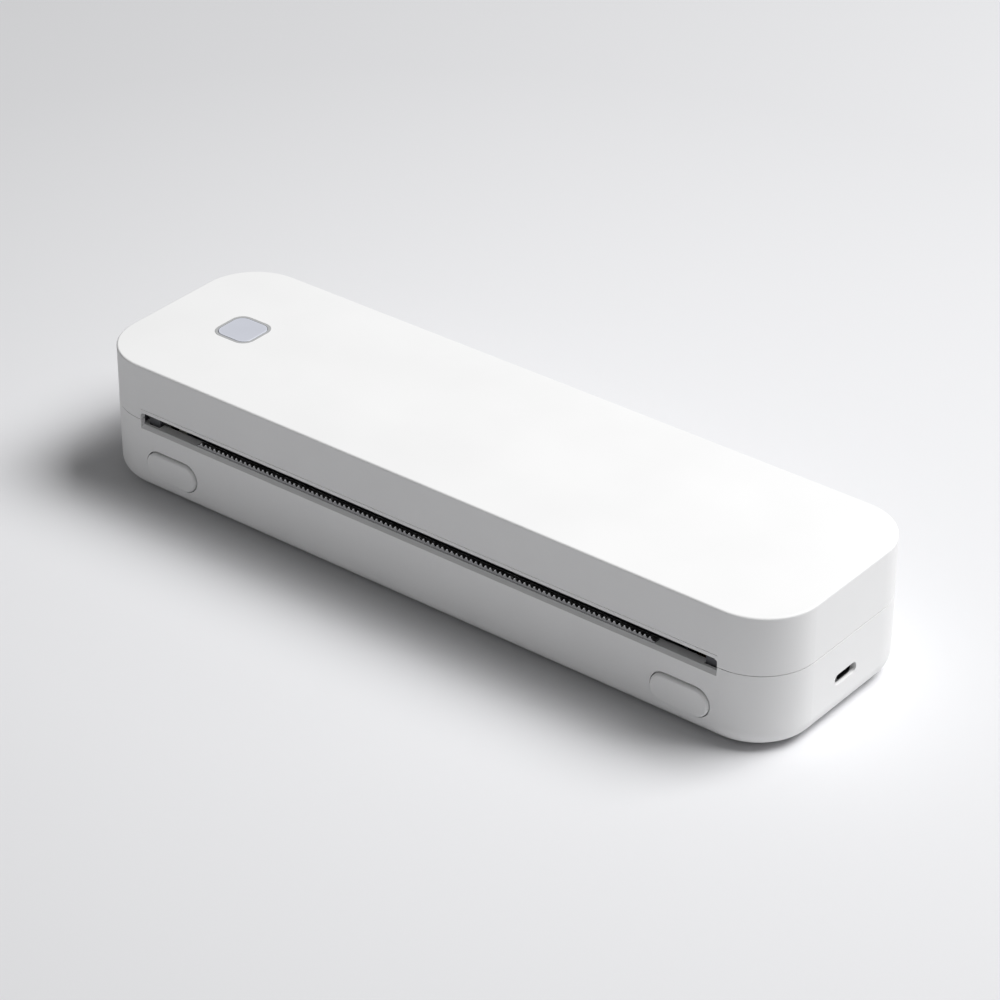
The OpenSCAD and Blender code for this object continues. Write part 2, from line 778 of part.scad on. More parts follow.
module motor_bracket() {
    face = [motor_face_x, motor_face_x + 1];
    color("lightsteelblue") in_case() difference() {
        union() {
            block(face, [motor_y - 12, motor_y + 12], [inner_floor_z + 1.3, motor_z + 12]);
            for (p = [[9.5, 9.4], [9.5, -9.2], [-8, -9.8]])
                x_rod(4, [face[0], -side_plate_x - sheet_t], motor_y + p[0], motor_z + p[1]);
        }
        x_rod(6.1, [face[0] - 1, face[1] + 1], motor_y, motor_z);
        for (s = [-1, 1])
            x_rod(2 + 2 * press_fit, [face[0] - 1, face[1] + 1], motor_y, motor_z + 8 * s);
    }
}

module stepper_motor() {
    color("slategray") in_case() difference() {
        union() {
            x_rod(motor_d, [motor_face_x - motor_l, motor_face_x], motor_y, motor_z);
            x_rod(6, [motor_face_x - 1, motor_face_x + 1.5], motor_y, motor_z);
            block([motor_face_x - motor_l + 3, motor_face_x - motor_l + 11],
                [motor_y + 6, motor_y + motor_d / 2 + 4], [motor_z - 6.5, motor_z - 1.5]);
        }
        x_rod(motor_shaft_d + 2 * turn_fit, [motor_face_x - 12, motor_face_x + 3], motor_y, motor_z);
        for (s = [-1, 1])
            x_rod(2 + 2 * press_fit, [motor_face_x - 5, motor_face_x + 3], motor_y, motor_z + 8 * s);
    }
}

module motor_screws() {
    color("silver") in_case() for (s = [-1, 1]) {
        x_rod(2, [motor_face_x - 4, motor_face_x + 1.5], motor_y, motor_z + 8 * s);
        x_rod(3.8, [motor_face_x + 1, motor_face_x + 2.2], motor_y, motor_z + 8 * s);
    }
}

module motor_lead() {
    start = [motor_face_x - motor_l + 7, motor_y + motor_d / 2 + 4];
    lead_x = (motor_connector_x[0] + motor_connector_x[1]) / 2;
    lead_y = back_y - 7.5;
    color("dimgray") in_case()
        flat_lead([start, [start[0], start[1] + 6], [-hinge_x - 9, lead_y], [lead_x, lead_y],
            [lead_x, board_y[1]]],
            3.6, [motor_z - 5, motor_z - 4]);
}

module gear_studs() {
    groove = 0.4;
    module stud(x, y, z) {
        difference() {
            x_rod(stud_d, [x - 0.9, -side_plate_x], y, z);
            difference() {
                x_rod(stud_d + 1, [x - groove - 0.1, x - 0.1], y, z);
                x_rod(stud_d - 0.8, [x - groove - 1, x + 1], y, z);
            }
        }
    }
    color("silver") in_case() {
        stud(gear_x - gear_w - 0.1, idler_y, idler_z);
        stud(wheel_x - wheel_w - 0.1, compound_y, compound_z);
    }
}

module gear_clips() {
    module clip(x, y, z) {
        difference() {
            x_rod(5.4, [x - clip_t - 0.1, x - 0.1], y, z);
            x_rod(stud_d - 0.8 + 2 * press_fit, [x - 1, x + 1], y, z);
            block([x - 1, x + 1], [y - 0.8, y + 0.8], [z, z + 4]);
        }
    }
    color("silver") in_case() {
        clip(gear_x - gear_w - 0.1, idler_y, idler_z);
        clip(wheel_x - wheel_w - 0.1, compound_y, compound_z);
    }
}

// Ring cut into the outer face of a gear to lighten it, between a hub and a rim
module gear_recess(hub_d, rim_d, x, y, z) {
    difference() {
        x_rod(rim_d, [x - 1, x + 0.8], y, z);
        x_rod(hub_d, [x - 2, x + 1], y, z);
    }
}

module idler_gear() {
    color("ivory") in_case() difference() {
        union() {
            wheel(idler_teeth, idler_turn, [gear_x - gear_w, gear_x], idler_y, idler_z);
            x_rod(6, [gear_x, -side_plate_x - sheet_t - 0.1], idler_y, idler_z);
        }
        x_rod(stud_d + 2 * turn_fit, [gear_x - gear_w - 1, gear_x + 2], idler_y, idler_z);
        gear_recess(6, 9, gear_x - gear_w, idler_y, idler_z);
    }
}

module compound_gear() {
    color("ivory") in_case() difference() {
        union() {
            wheel(small_teeth, small_wheel_turn, [wheel_x - eps, gear_x], compound_y, compound_z);
            wheel(large_teeth, small_wheel_turn, [wheel_x - wheel_w, wheel_x],
                compound_y, compound_z);
            x_rod(6, [gear_x, -side_plate_x - sheet_t - 0.1], compound_y, compound_z);
        }
        x_rod(stud_d + 2 * turn_fit, [wheel_x - wheel_w - 1, gear_x + 2], compound_y, compound_z);
        gear_recess(7, 17, wheel_x - wheel_w, compound_y, compound_z);
    }
}

module motor_shaft() {
    color("silver") in_case()
        x_rod(motor_shaft_d, [motor_face_x - 11, wheel_x + 0.4], motor_y, motor_z);
}

module motor_pinion() {
    color("goldenrod") in_case() difference() {
        wheel(pinion_teeth, pinion_wheel_turn, [wheel_x - wheel_w - 0.3, wheel_x + 0.2],
            motor_y, motor_z);
        x_rod(motor_shaft_d + 2 * press_fit, [wheel_x - wheel_w - 1, wheel_x + 1], motor_y, motor_z);
    }
}

module head_pivot_pins() {
    color("silver") in_case() both_ends()
        x_rod(pivot_d, [head_half - 0.8, head_half + 3.2], pivot_y, pivot_z);
}

module head_springs() {
    color("silver") in_case() for (k = [-3:2:3])
        translate([k * spring_step, platen_y, tray_z + tray_t])
            coil_spring(5, 0.6, bracket_z - tray_z - tray_t, 3);
}

module head_bracket() {
    color("silver") in_case() difference() {
        union() {
            block([-head_half, head_half], [head_front_y + 1, head_back_y], [bracket_z, sink_z]);
            both_ends() {
                block([head_half - 1.2, head_half], [pivot_y - pivot_ear_r, pivot_y + pivot_ear_r - 0.5],
                    [bracket_z, pivot_z]);
                x_rod(2 * pivot_ear_r, [head_half - 1.2, head_half], pivot_y, pivot_z);
            }
        }
        both_ends()
            x_rod(pivot_d + 2 * turn_fit, [head_half - 1.4, head_half + 1], pivot_y, pivot_z);
    }
}

module head_heat_sink() {
    color("lightgray") in_case() difference() {
        block([-head_half + 1.5, head_half - 1.5], [head_front_y, pivot_y - 3],
            [sink_z, sink_z + sink_t]);
        for (y = [head_front_y + 12.5, head_front_y + 15])
            block([-head_half, head_half], [y, y + 1], [sink_z + 1, sink_z + sink_t + 1]);
    }
}

module head_ceramic_strip() {
    color("linen") in_case()
        block([-paper_w / 2 - 2, paper_w / 2 + 2],
            [platen_y - strip_w + 2, platen_y + 2], [sink_z + sink_t, strip_top_z]);
}

module head_driver_cover() {
    y = platen_y + 2.5;
    z = sink_z + sink_t;
    color("black") in_case() along_x([-paper_w / 2 + 6, paper_w / 2 - 6])
        polygon([[y, z], [y + 8, z], [y + 8, z + 1.2], [y + 7.2, z + 1.7], [y + 1.2, z + 1.7],
            [y, z + 0.8]]);
}

module head_ribbon() {
    x = [board_x[0] - 51, board_x[0] - 33];
    y = pivot_y + 4;
    t = 0.3;
    color("sienna") in_case() {
        block(x, [pivot_y - 1.5, y], [bracket_z - t - 0.1, bracket_z - 0.1]);
        block(x, [y - t, y], [inner_floor_z + 1.5, bracket_z - 0.1]);
        block([x[0], board_x[0] + 13], [y - t, y], [inner_floor_z + 1.5, inner_floor_z + 5.5]);
    }
}

module release_button() {
    difference() {
        union() {
            pill(button_l, button_h, [front_y - button_proud, flange_y + 0.5], button_x, latch_z,
                button_edge_r);
            pill(flange_l, flange_h, [flange_y, flange_y + flange_t], button_x, latch_z);
        }
        pill(button_l - 4, button_h - 4, [front_y + 0.6, flange_y + flange_t + 1], button_x, latch_z);
    }
}

module latch_slider() {
    low_z = latch_z - 5;
    difference() {
        union() {
            block([button_x - 10.3, hook_x[1]], [slider_y, slider_y + slider_t],
                [low_z, latch_z + 5]);
            block([button_x - 3, hook_x[1]], [slider_y, hook_y[1]], [low_z, low_z + 1.5]);
            block([button_x - 1.8, button_x + 2.2], [front_y + 7, hook_y[1]],
                [inner_floor_z + 1, low_z + eps]);
            block(hook_x, [slider_y, hook_y[1]], [low_z, latch_z + 5]);
            block(hook_x, hook_y, [low_z, hook_top_z]);
            along_x(hook_x) polygon([
                [hook_y[1], hook_top_z], [hook_y[1], hook_top_z - nose_h - 1],
                [hook_y[0], hook_top_z - nose_h - 1], [nose_tip_y, hook_top_z - nose_h],
                [nose_tip_y, hook_top_z - 1.1], [hook_y[0], hook_top_z]]);
        }
        y_rod(2.6, [slider_y - 1, slider_y + slider_t + 1], button_x - 2, latch_z + 1);
    }
}

module latch_spring() {
    translate([latch_spring_x, slider_y + slider_t, latch_z]) rotate([-90, 0, 0])
        coil_spring(4.6, 0.5, spring_wall_y - slider_y - slider_t, 4);
}

module left_release_button() {
    color("whitesmoke") in_case() mirror([1, 0, 0]) release_button();
}

module left_latch_slider() {
    color("lightgray") in_case() mirror([1, 0, 0]) latch_slider();
}

module left_latch_spring() {
    color("silver") in_case() mirror([1, 0, 0]) latch_spring();
}

module right_release_button() {
    color("whitesmoke") in_case() release_button();
}

module right_latch_slider() {
    color("lightgray") in_case() latch_slider();
}

module right_latch_spring() {
    color("silver") in_case() latch_spring();
}

// Square hole or plug with round corners, standing along Z under the power button
module power_square(width, corner, z, edge_r = 0) {
    translate([-power_x, power_y, 0]) rounded_block(width, width, corner, z, 0, edge_r);
}

module lid_shell() {
    color("white") in_case() difference() {
        union() {
            difference() {
                case_form(0, [lid_z, top_z], 0, top_r);
                case_form(wall, [lid_z - past, ceiling_z]);
            }
            both_ends() {
                for (x = [inner_knuckle_x, outer_knuckle_x]) {
                    x_rod(2 * hinge_r, x, hinge_y, hinge_z);
                    block(x, [hinge_y - 2.5, back_y - 1], [hinge_z, hinge_z + knuckle_web_h]);
                }
                for (y = [-liner_screw_y, liner_screw_y])
                    z_rod(6, [liner_z + liner_t, ceiling_z + eps], liner_screw_x, y);
            }
            for (y = board_post_ys)
                z_rod(4.5, [button_board_z + button_board_t, ceiling_z + eps], -power_x, y);
        }
        slot_front([lid_z - 1, slot_top_z - slot_corner_r]);
        block([-slot_l / 2 + slot_corner_r, slot_l / 2 - slot_corner_r],
            [front_y - past, front_y + wall + eps], [lid_z - 1, slot_top_z]);
        both_ends() y_rod(2 * slot_corner_r, [front_y - past, front_y + wall + eps],
            slot_l / 2 - slot_corner_r, slot_top_z - slot_corner_r);
        along_x([-slot_l / 2 + slot_corner_r, slot_l / 2 - slot_corner_r]) polygon([
            [front_y - eps, slot_top_z + lip_chamfer_h], [front_y, slot_top_z + lip_chamfer_h],
            [front_y + lip_chamfer_d, slot_top_z], [front_y - eps, slot_top_z]]);
        block([-slot_l / 2, slot_l / 2], [front_y - past, front_y + lip_line_w],
            [slot_top_z + lip_line_up, slot_top_z + lip_line_up + lip_line_w]);
        difference() {
            block([-case_l, case_l], [hinge_y, back_y + past], [lid_z - past, hinge_z]);
            x_rod(2 * hinge_r, [-case_l, case_l], hinge_y, hinge_z);
        }
        block([-inner_knuckle_x[0] + 2, inner_knuckle_x[0] - 2], [hinge_y, back_y + past],
            [lid_z - past, rim_z + inlet_h]);
        both_ends() {
            block([lug_x[0] - knuckle_gap, lug_x[1] + knuckle_gap],
                [hinge_y - hinge_r - 0.4, back_y + past],
                [lid_z - past, hinge_z + hinge_r + 0.4]);
            x_rod(hinge_pin_d + 2 * turn_fit, [inner_knuckle_x[0] - 1, outer_knuckle_x[1] + 1],
                hinge_y, hinge_z);
            for (y = [-liner_screw_y, liner_screw_y])
                z_rod(2.2 + 2 * press_fit, [liner_z, liner_z + 9], liner_screw_x, y);
        }
        for (y = board_post_ys)
            z_rod(1.6 + 2 * press_fit, [button_board_z, button_board_z + 6], -power_x, y);
        power_square(ring_w + 2 * press_fit, ring_r, [ceiling_z - 1, top_z + 1]);
    }
}

// Section of the beam over the platen: a front wall, a vault around the roller and a back wall
module beam_profile(vault_r) {
    low_z = platen_z - 2.5;
    difference() {
        union() {
            translate([platen_y, platen_z]) circle(vault_r + liner_t);
            translate([front_y + wall + seat, slot_top_z + 0.4])
                square([liner_t, liner_top_z - slot_top_z - 0.4]);
            translate([platen_y + cavity_r, platen_z - 1])
                square([liner_t, liner_top_z - platen_z + 1]);
            translate([front_y + wall + seat, platen_z + vault_r])
                square([platen_back - wall - seat + cavity_r, liner_t]);
        }
        translate([platen_y, platen_z]) circle(vault_r);
        translate([platen_y - vault_r - liner_t, platen_z - vault_r - liner_t])
            square([2 * (vault_r + liner_t), low_z - platen_z + vault_r + liner_t]);
    }
}

module lid_liner() {
    color("gainsboro") in_case() difference() {
        union() {
            along_x([-ear_x[0], ear_x[0]]) beam_profile(cavity_r);
            both_ends() {
                along_x(ear_x) {
                    translate([platen_y, platen_z]) circle(bushing_d / 2 + 2.6);
                    translate([platen_y - 5, platen_z]) square([10, liner_top_z - platen_z]);
                    beam_profile(cavity_r);
                }
                block([liner_wall_x, liner_wall_x + liner_t], [platen_y + cavity_r, liner_back_y],
                    [liner_z, liner_top_z]);
                block([hook_x[0], hook_x[1]], tongue_y, [barb_z, liner_z + liner_t]);
                along_x(hook_x) polygon([
                    [tongue_y[1] - eps, barb_z + barb_h], [tongue_y[1] + barb_out, barb_z + barb_h],
                    [tongue_y[1] + barb_out, barb_z + 1], [tongue_y[1], barb_z],
                    [tongue_y[1] - eps, barb_z]]);
            }
            difference() {
                case_form(wall + seat, [liner_z, liner_z + liner_t]);
                block([-ear_x[1] + 1, ear_x[1] - 1], [front_y, platen_y + cavity_r],
                    [liner_z - 1, liner_z + liner_t + 1]);
                block([-liner_wall_x - 1, liner_wall_x + 1], [front_y, back_y],
                    [liner_z - 1, liner_z + liner_t + 1]);
                block([-case_l, case_l], [liner_back_y, back_y],
                    [liner_z - 1, liner_z + liner_t + 1]);
            }
            block([lid_switch_x - 3, lid_switch_x + 3], [lid_switch_y - 3, lid_switch_y + 3],
                [rim_z + 1.5, liner_z + eps]);
        }
        both_ends() {
            x_rod(bushing_d + 2 * press_fit, [ear_x[0] - 1, ear_x[1] + 1], platen_y, platen_z);
            for (y = [-liner_screw_y, liner_screw_y])
                z_rod(2.6, [liner_z - 1, liner_z + liner_t + 1], liner_screw_x, y);
        }
        for (x = [[wheel_x - 2.5, -ear_x[1] - 0.3], [ear_x[1] + 0.3, side_plate_x + 4]])
            block(x, [platen_y - 9.2, platen_y + 9.2], [liner_z - 4, liner_z + liner_t + 4]);
    }
}

module liner_screws() {
    color("silver") in_case() both_ends() for (y = [-liner_screw_y, liner_screw_y])
        screw_up(2.2, 4.6, 1.3, [liner_z, liner_z + 8], liner_screw_x, y);
}

module platen_shaft() {
    color("silver") in_case() difference() {
        x_rod(shaft_d, [gear_x - gear_w - 0.4, bushing_x[1] + 0.6], platen_y, platen_z);
        block([gear_x - gear_w - 1, gear_x], [platen_y - 4, platen_y + 4],
            [platen_z + shaft_d / 2 - 0.5, platen_z + 4]);
    }
}

module platen_rubber() {
    color("black") in_case() difference() {
        x_rod(2 * platen_r, [-platen_l / 2, platen_l / 2], platen_y, platen_z);
        x_rod(shaft_d + 2 * press_fit, [-platen_l, platen_l], platen_y, platen_z);
    }
}

module platen_bushings() {
    color("ivory") in_case() both_ends() difference() {
        union() {
            x_rod(bushing_d, bushing_x, platen_y, platen_z);
            x_rod(bushing_flange_d, [bushing_x[0] - bushing_flange_t, bushing_x[0]],
                platen_y, platen_z);
        }
        x_rod(shaft_d + 2 * turn_fit, [bushing_x[0] - 2, bushing_x[1] + 1], platen_y, platen_z);
    }
}

module platen_gear() {
    color("ivory") in_case() difference() {
        wheel(platen_teeth, 0, [gear_x - gear_w, gear_x], platen_y, platen_z);
        gear_recess(8, 12.4, gear_x - gear_w, platen_y, platen_z);
        difference() {
            x_rod(shaft_d + 2 * press_fit, [gear_x - gear_w - 1, gear_x + 1], platen_y, platen_z);
            block([gear_x - gear_w - 2, gear_x + 2], [platen_y - 4, platen_y + 4],
                [platen_z + shaft_d / 2 - 0.5 + press_fit, platen_z + 4]);
        }
    }
}

module power_button_ring() {
    color("darkgray") in_case() difference() {
        union() {
            power_square(ring_w, ring_r, [ring_flange_z, top_z], 0.2);
            power_square(ring_w + 1.4, ring_r + 0.7, [ring_flange_z, ring_flange_z + ring_flange_t]);
        }
        power_square(cap_w + 2 * ring_gap, cap_r + ring_gap, [ring_flange_z - 1, top_z + 1]);
    }
}

module power_button_cap() {
    color("lavender") in_case() {
        power_square(cap_w, cap_r, [cap_flange_z, cap_top_z], 0.2);
        power_square(cap_w + 1.2, cap_r + 0.6, [cap_flange_z, cap_flange_z + 0.6]);
        z_rod(4, [switch_top_z + 0.9, cap_flange_z + eps], -power_x, power_y);
    }
}

module switch_plunger() {
    color("black") in_case()
        z_rod(3.4, [switch_top_z - 0.8, switch_top_z + 0.9], -power_x, power_y);
}

module switch_body() {
    color("dimgray") in_case() difference() {
        block([-power_x - 3, -power_x + 3], [power_y - 3, power_y + 3],
            [switch_top_z - switch_h, switch_top_z]);
        z_rod(3.4 + 2 * turn_fit, [switch_top_z - 0.8 - power_travel - 0.2, switch_top_z + 1],
            -power_x, power_y);
    }
}

module button_board() {
    color("seagreen") in_case() difference() {
        block([-power_x - 9.5, -power_x + 9.5], [board_post_ys[0] - 3, board_post_ys[1] + 3],
            [button_board_z, button_board_z + button_board_t]);
        for (y = board_post_ys)
            z_rod(2, [button_board_z - 1, button_board_z + 3], -power_x, y);
    }
}

module button_board_screws() {
    color("silver") in_case() for (y = board_post_ys)
        screw_up(1.6, 3.2, 1, [button_board_z, button_board_z + 5], -power_x, y);
}

module lid_ribbon() {
    x = [-power_x - 18, -power_x - 12];
    y = board_post_ys[1] + 1;
    color("sienna") in_case() {
        block([x[0], -power_x - 5], [y - 5, y], [button_board_z - 0.4, button_board_z]);
        block(x, [y - 5, hinge_y - 3], [button_board_z - 0.4, button_board_z]);
    }
}

base_shell();
rubber_feet();
case_screws();
inner_frame();
tear_bar();
head_chassis();
chassis_screws();
hinge_pins();
battery_pack();
battery_lead();
main_board();
board_screws();
usb_c_inlet();
wireless_module();
board_connectors();
paper_sensor();
lid_switch();
motor_bracket();
stepper_motor();
motor_screws();
motor_lead();
gear_studs();
gear_clips();
idler_gear();
compound_gear();
motor_shaft();
motor_pinion();
head_pivot_pins();
head_springs();
head_bracket();
head_heat_sink();
head_ceramic_strip();
head_driver_cover();
head_ribbon();
left_release_button();
left_latch_slider();
left_latch_spring();
right_release_button();
right_latch_slider();
right_latch_spring();
lid_shell();
lid_liner();
liner_screws();
platen_shaft();
platen_rubber();
platen_bushings();
platen_gear();
power_button_ring();
power_button_cap();
switch_plunger();
switch_body();
button_board();
button_board_screws();
lid_ribbon();
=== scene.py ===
# %% [markdown]
# # A portable printer for A4 paper, dressed for its portrait
#
# The solids of this printer come from a CAD model and are never moved or
# reshaped here. This notebook gives them the finishes of the real object,
# puts soft studio light on them, and looks at them from the place where the
# photographer stood. Everything is in metres: +X runs along the printer
# towards its charging inlet, -Y is the side with the paper slot, and +Z is up.

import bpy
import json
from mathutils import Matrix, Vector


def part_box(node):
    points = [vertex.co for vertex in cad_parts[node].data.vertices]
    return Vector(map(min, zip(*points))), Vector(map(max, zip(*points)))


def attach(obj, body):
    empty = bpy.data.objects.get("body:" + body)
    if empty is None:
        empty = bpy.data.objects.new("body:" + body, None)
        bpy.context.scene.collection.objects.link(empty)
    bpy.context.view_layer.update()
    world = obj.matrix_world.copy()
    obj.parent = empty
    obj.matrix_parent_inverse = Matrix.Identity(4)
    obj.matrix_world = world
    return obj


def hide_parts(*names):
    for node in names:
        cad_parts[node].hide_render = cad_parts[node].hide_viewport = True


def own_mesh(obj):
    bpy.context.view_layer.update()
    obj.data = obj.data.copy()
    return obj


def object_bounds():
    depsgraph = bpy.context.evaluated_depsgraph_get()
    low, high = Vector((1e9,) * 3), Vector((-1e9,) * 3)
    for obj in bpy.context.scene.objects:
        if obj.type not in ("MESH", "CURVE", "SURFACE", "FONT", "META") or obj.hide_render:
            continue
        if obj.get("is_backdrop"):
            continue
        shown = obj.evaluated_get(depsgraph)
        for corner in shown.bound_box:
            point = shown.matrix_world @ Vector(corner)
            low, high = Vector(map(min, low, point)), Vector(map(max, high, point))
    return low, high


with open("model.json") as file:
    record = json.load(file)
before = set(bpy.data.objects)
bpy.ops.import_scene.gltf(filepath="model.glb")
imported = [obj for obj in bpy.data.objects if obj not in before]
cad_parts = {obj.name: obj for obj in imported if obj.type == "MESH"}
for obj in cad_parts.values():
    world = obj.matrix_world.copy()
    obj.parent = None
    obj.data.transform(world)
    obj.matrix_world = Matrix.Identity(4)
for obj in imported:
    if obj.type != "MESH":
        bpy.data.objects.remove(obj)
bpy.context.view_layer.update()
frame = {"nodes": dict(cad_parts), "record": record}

# %% [markdown]
# ## The camera
#
# A camera can be placed by eye, or solved from the picture. Here it was solved:
# thirty points on the edges of the printer were matched to the solids, and the
# place, the turn and the lens that explain them best were kept. The lens is
# long, so the printer's far end hardly shrinks. A camera looks along its own
# -Z axis, so its matrix is written from three arrows: right, up and backwards.
# The lens and the sensor are in millimetres, as on a real camera.

# %% Camera
import bpy
import bmesh
import json
import math
from mathutils import Matrix, Vector

CAMERA_PLACE = Vector((0.7109, -0.8933, 0.7249))
CAMERA_RIGHT = Vector((0.7833, 0.6216, 0.0030))
CAMERA_BACK = Vector((0.5289, -0.6691, 0.5221))
CAMERA_LENS = 131.4
SENSOR_WIDTH = 36
CAMERA_REACH = 20

camera_data = bpy.data.cameras.new("photo_camera")
camera_data.sensor_width = SENSOR_WIDTH
camera_data.lens = CAMERA_LENS
camera_data.clip_end = CAMERA_REACH
camera = bpy.data.objects.new("photo_camera", camera_data)
back = CAMERA_BACK.normalized()
right = (CAMERA_RIGHT - back * CAMERA_RIGHT.dot(back)).normalized()
turned = Matrix((right, back.cross(right), back)).transposed().to_4x4()
camera.matrix_world = Matrix.Translation(CAMERA_PLACE) @ turned
scene = bpy.context.scene
scene.collection.objects.link(camera)
scene.camera = camera
print("the camera stands", round(CAMERA_PLACE.length, 2), "m from the printer's foot")

# %% [markdown]
# ## Light
#
# The photograph has one large soft lamp, above the printer and a little behind
# its right end. The top and the right end are bright, the long front lies in its
# own shade, and a soft shadow spreads to the front left. The white table throws
# light back onto the shaded front. A low world light lifts the shadows, and a
# weak wide lamp in front stands for the pale wall behind the photographer.

# %% Lamps and world
KEY_PLACE = Vector((0.845, 0.806, 1.859))
KEY_AIM = Vector((0.05, 0, 0))
KEY_SIZE = 1.3
KEY_POWER = 58
FILL_PLACE = Vector((-0.3, -1.6, 1.3))
FILL_AIM = Vector((0, 0, 0))
FILL_SIZE = 1.8
FILL_POWER = 1.3
WORLD_LIGHT = 0.12


def soft_lamp(name, place, aim, size, power):
    """A square lamp that looks from its place at the point aim."""
    data = bpy.data.lights.new(name, "AREA")
    data.shape = "SQUARE"
    data.size = size
    data.energy = power
    lamp = bpy.data.objects.new(name, data)
    lamp.rotation_euler = (aim - place).to_track_quat("-Z", "Y").to_euler()
    lamp.location = place
    scene.collection.objects.link(lamp)


soft_lamp("key_lamp", KEY_PLACE, KEY_AIM, KEY_SIZE, KEY_POWER)
soft_lamp("fill_lamp", FILL_PLACE, FILL_AIM, FILL_SIZE, FILL_POWER)

world = bpy.data.worlds.new("studio")
scene.world = world
world.use_nodes = True
sky = world.node_tree.nodes["Background"].inputs
sky["Color"].default_value = (1, 1, 1, 1)
sky["Strength"].default_value = WORLD_LIGHT
scene.view_settings.view_transform = "Standard"
print("a key lamp of", KEY_POWER, "W and a fill of", FILL_POWER, "W")

# %% [markdown]
# ## Helpers for finishes
#
# Each finish is a small tree of nodes on the solid's own Object coordinates, so
# the pattern stays on a piece when the piece moves. A noise texture is the most
# useful brick: at a scale of 2500 to the metre its grains are about 0.4 mm wide.
# Almost every surface needs the same three moves: a tone that wanders between two
# shades, a roughness that wanders too, and a bump. Worn edges are found by the
# Bevel node, whose rounded normal leaves the true one only near an edge.

# %% Helpers for finishes
EDGE_START = 0.995
EDGE_FULL = 0.9


class Finish:
    """One material, with short ways to add noise, tone changes and grain to it."""

    def __init__(self, name, colour, roughness, metallic=0.0, ior_level=0.5):
        self.material = bpy.data.materials.new(name)
        self.material.use_nodes = True
        self.tree = self.material.node_tree
        self.shader = self.tree.nodes["Principled BSDF"]
        self.colour = colour
        self.shader.inputs["Base Color"].default_value = (*colour, 1)
        self.shader.inputs["Roughness"].default_value = roughness
        self.shader.inputs["Metallic"].default_value = metallic
        self.shader.inputs["Specular IOR Level"].default_value = ior_level
        self.place = self.tree.nodes.new("ShaderNodeTexCoord").outputs["Object"]

    def node(self, kind, **inputs):
        made = self.tree.nodes.new(kind)
        for key, value in inputs.items():
            made.inputs[key.replace("_", " ")].default_value = value
        return made

    def link(self, start, end):
        self.tree.links.new(start, end)

    def noise(self, scale, detail=3.0, stretch=None):
        """Noise from 0 to 1, drawn out along an axis if stretch is given."""
        pattern = self.node("ShaderNodeTexNoise", Scale=scale, Detail=detail)
        place = self.place
        if stretch:
            mapping = self.node("ShaderNodeMapping", Scale=stretch)
            self.link(place, mapping.inputs["Vector"])
            place = mapping.outputs["Vector"]
        self.link(place, pattern.inputs["Vector"])
        return pattern.outputs["Fac"]

    def ranged(self, value, low, high, start=0.3, end=0.7):
        """A value spread from start..end to low..high."""
        made = self.node("ShaderNodeMapRange", From_Min=start, From_Max=end,
                         To_Min=low, To_Max=high)
        self.link(value, made.inputs["Value"])
        return made.outputs["Result"]

    def mixed(self, factor, first, second):
        """A colour between two others, each a colour or a socket."""
        mix = self.tree.nodes.new("ShaderNodeMix")
        mix.data_type = "RGBA"
        self.link(factor, mix.inputs["Factor"])
        for socket, colour in ((mix.inputs[6], first), (mix.inputs[7], second)):
            if isinstance(colour, tuple):
                socket.default_value = (*colour, 1)
            else:
                self.link(colour, socket)
        return mix.outputs[2]

    def tone(self, value, darker, lighter, start=0.3, end=0.7):
        """The finish's own colour, wandering between two factors of it."""
        low, high = shaded(self.colour, darker), shaded(self.colour, lighter)
        return self.mixed(self.ranged(value, 0, 1, start, end), low, high)

    def paint(self, socket):
        self.link(socket, self.shader.inputs["Base Color"])

    def gloss(self, socket):
        self.link(socket, self.shader.inputs["Roughness"])

    def bump(self, *layers):
        """Stacks layers of (height, depth in metres) into one bumpy normal."""
        normal = None
        for height, depth in layers:
            made = self.node("ShaderNodeBump", Distance=depth)
            self.link(height, made.inputs["Height"])
            if normal:
                self.link(normal, made.inputs["Normal"])
            normal = made.outputs["Normal"]
        self.link(normal, self.shader.inputs["Normal"])

    def edge(self, radius):
        """1 along convex and concave edges within radius, 0 on open faces."""
        rounded = self.node("ShaderNodeBevel", Radius=radius)
        flat = self.tree.nodes.new("ShaderNodeNewGeometry")
        meet = self.tree.nodes.new("ShaderNodeVectorMath")
        meet.operation = "DOT_PRODUCT"
        self.link(rounded.outputs["Normal"], meet.inputs[0])
        self.link(flat.outputs["Normal"], meet.inputs[1])
        return self.ranged(meet.outputs["Value"], 0, 1, EDGE_START, EDGE_FULL)


def shaded(colour, factor):
    """The same colour, lighter or darker by a factor."""
    return tuple(min(1.0, part * factor) for part in colour)


print("an edge starts where the dot product of the two normals falls to", EDGE_START)

# %% [markdown]
# ## The table and the backdrop
#
# One sheet of paper, curved up far behind the printer, is what photographers
# call a sweep. Here a flat sheet reaches past the picture's edges, because the
# camera looks down and never sees a horizon. In the photograph the sheet grows
# darker away from the printer, where the lamp no longer reaches. A spot as soft
# as that is simplest as a change of the sheet's own colour with the distance
# from the printer, which leaves the light on the printer alone.

# %% Table
TABLE_HALF = 3.0
TABLE_COLOUR = (0.785, 0.787, 0.802)
TABLE_FAR = 0.90
TABLE_MIDDLE = (-0.05, -0.02, 0.0)
TABLE_FADE = (0.14, 0.42)
TABLE_ROUGHNESS = 0.9
TABLE_LEVEL = 0.1

